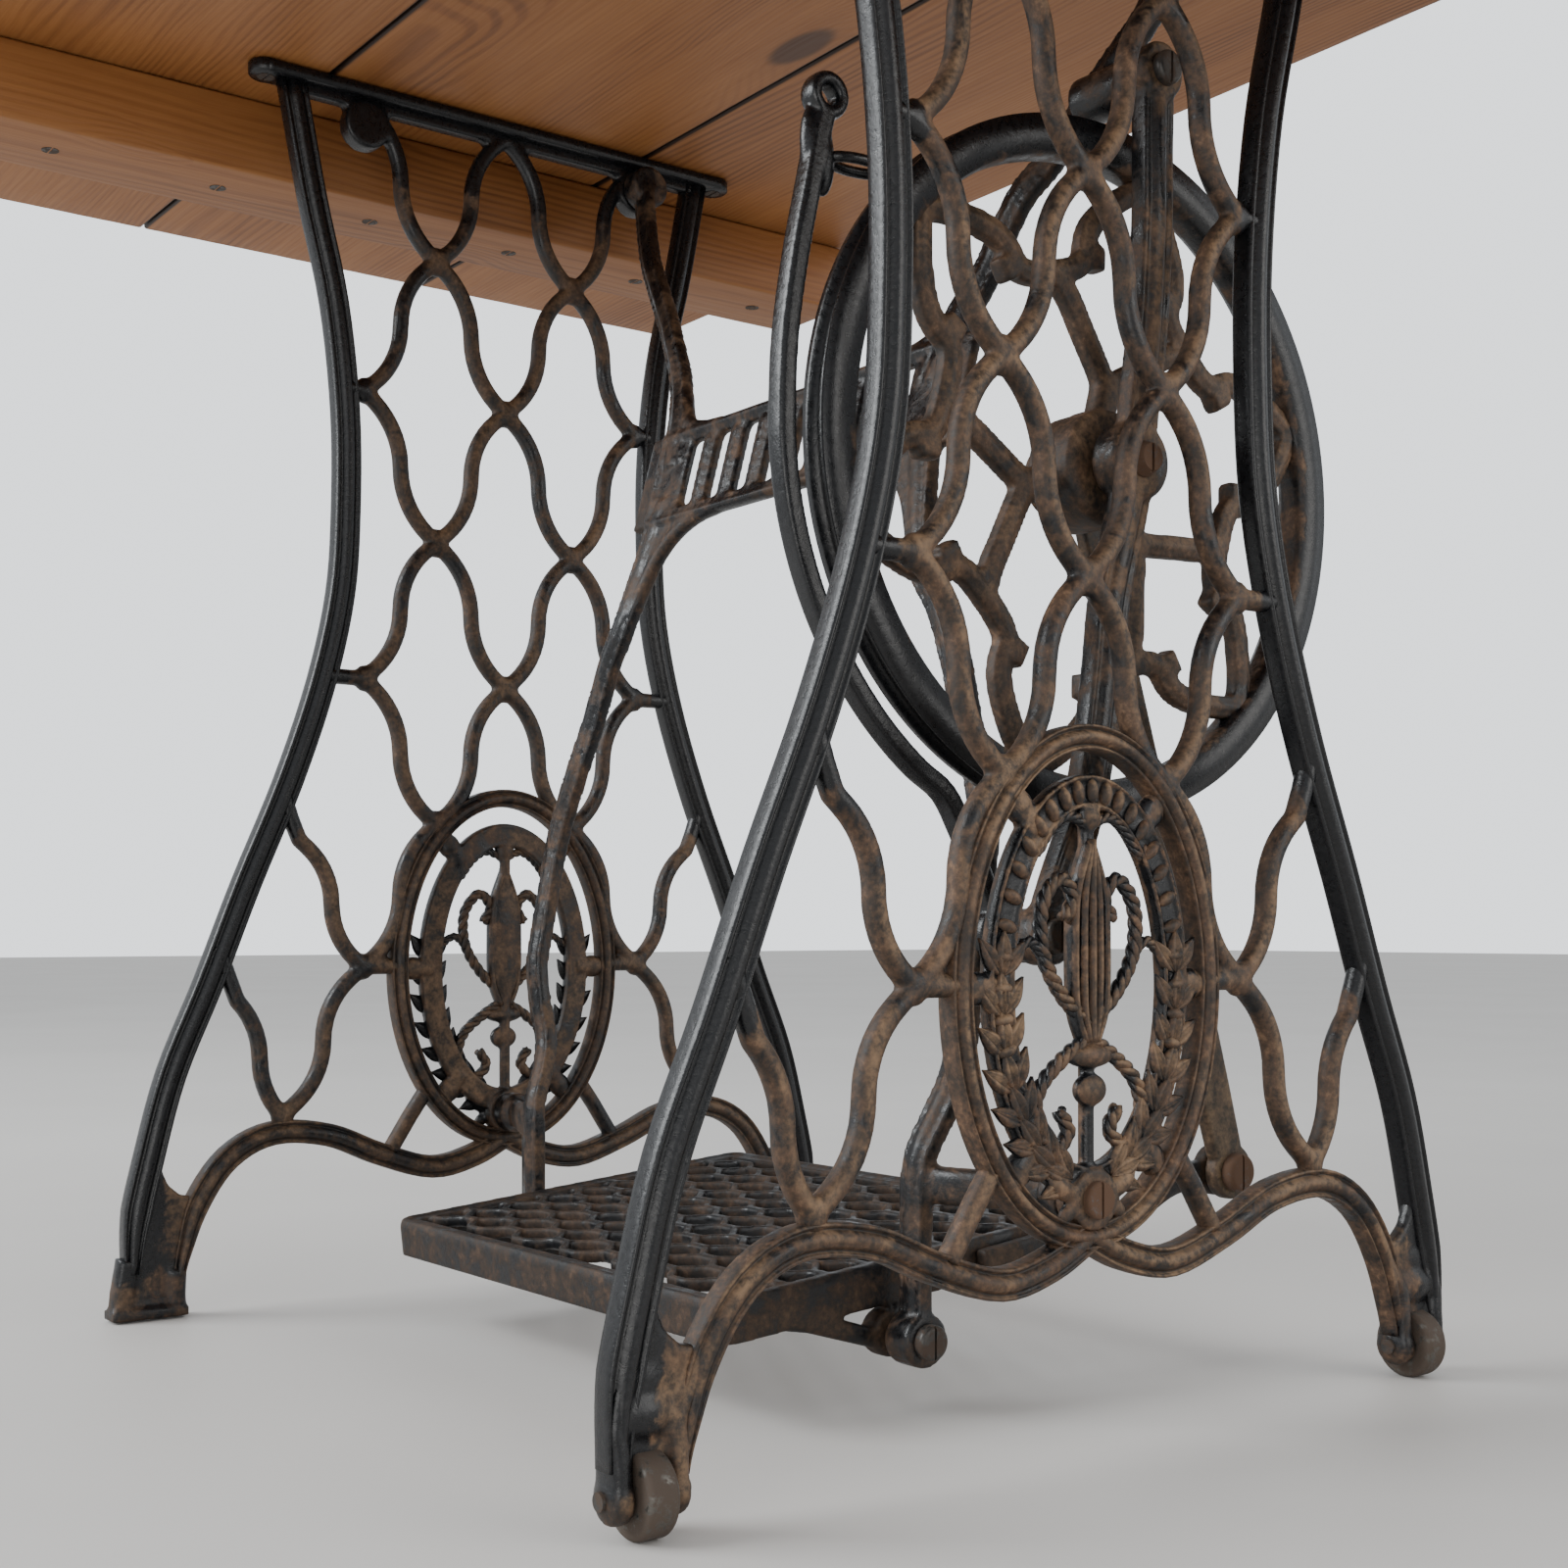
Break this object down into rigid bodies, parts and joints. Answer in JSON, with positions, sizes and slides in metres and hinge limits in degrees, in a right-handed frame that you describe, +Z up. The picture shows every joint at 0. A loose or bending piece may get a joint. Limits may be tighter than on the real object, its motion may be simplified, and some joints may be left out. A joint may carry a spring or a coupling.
{
  "type": "sewing table",
  "caption": "Cast-iron treadle base with lattice side frames, flywheel, pitman, rocking treadle and dress guard, under a plank table top.",
  "frame": {"origin": "on the floor under the middle of the table top", "axes": "+X towards the flywheel side, -Y towards the person sitting at the table, +Z up"},
  "size_m": [1.13, 0.64, 0.735],
  "materials": {
    "top_wood": "oiled, worn",
    "cleat_wood": "oiled, worn",
    "cast_iron": "worn black enamel over brown rust",
    "brace_iron": "brown rust with traces of enamel",
    "guard_iron": "worn black enamel",
    "wheel_iron": "worn black enamel over brown rust",
    "treadle_iron": "brown rust",
    "pitman_iron": "dull, grey-brown",
    "caster_iron": "worn bare iron",
    "dark_steel": "dark, oxidised",
    "rusty_steel": "rusted",
    "bush_brass": "dull"
  },
  "bodies": {
    "table": {"plank_front": "top_wood", "plank_middle": "top_wood", "plank_rear": "top_wood", "cleat_left": "cleat_wood", "cleat_right": "cleat_wood", "cleat_screws": "dark_steel", "rail_screws": "dark_steel", "left_side_frame": "cast_iron", "right_side_frame": "cast_iron", "back_brace": "brace_iron", "brace_bolts": "dark_steel", "medallion_bolts": "rusty_steel", "bracket_bolts": "dark_steel", "pivot_screws": "dark_steel", "wheel_bracket": "brace_iron", "wheel_axle": "rusty_steel", "dress_guard": "guard_iron", "belt_guide": "guard_iron", "caster_pins": "dark_steel"},
    "flywheel": {"flywheel": "wheel_iron", "crank": "wheel_iron", "crank_pin": "rusty_steel", "crank_pin_nut": "rusty_steel"},
    "pitman": {"pitman_rod": "pitman_iron", "pitman_bush": "bush_brass", "pitman_bolt": "rusty_steel"},
    "treadle": {"treadle": "treadle_iron", "treadle_arm": "treadle_iron"},
    "caster_front": {"caster_wheel_front": "caster_iron"},
    "caster_rear": {"caster_wheel_rear": "caster_iron"}
  },
  "joints": [
    {"name": "flywheel_spin", "type": "hinge", "parent": "table", "child": "flywheel", "pos_m": [0.199, 0.053, 0.422], "axis": [1, 0, 0], "continuous": true},
    {"name": "pitman_turn", "type": "hinge", "parent": "flywheel", "child": "pitman", "pos_m": [0.1685, 0.07445, 0.44], "axis": [1, 0, 0], "continuous": true},
    {"name": "treadle_rock", "type": "hinge", "parent": "table", "child": "treadle", "pos_m": [0, -0.025, 0.034], "axis": [1, 0, 0], "range_deg": [-7.5, 7.5]},
    {"name": "caster_front_spin", "type": "hinge", "parent": "table", "child": "caster_front", "pos_m": [0.25, -0.219, 0.016], "axis": [0, 1, 0], "continuous": true},
    {"name": "caster_rear_spin", "type": "hinge", "parent": "table", "child": "caster_rear", "pos_m": [0.25, 0.219, 0.016], "axis": [0, 1, 0], "continuous": true}
  ],
  "couplings": [
    {"joint": "pitman_turn", "follows": "flywheel_spin", "ratio": -1}
  ]
}
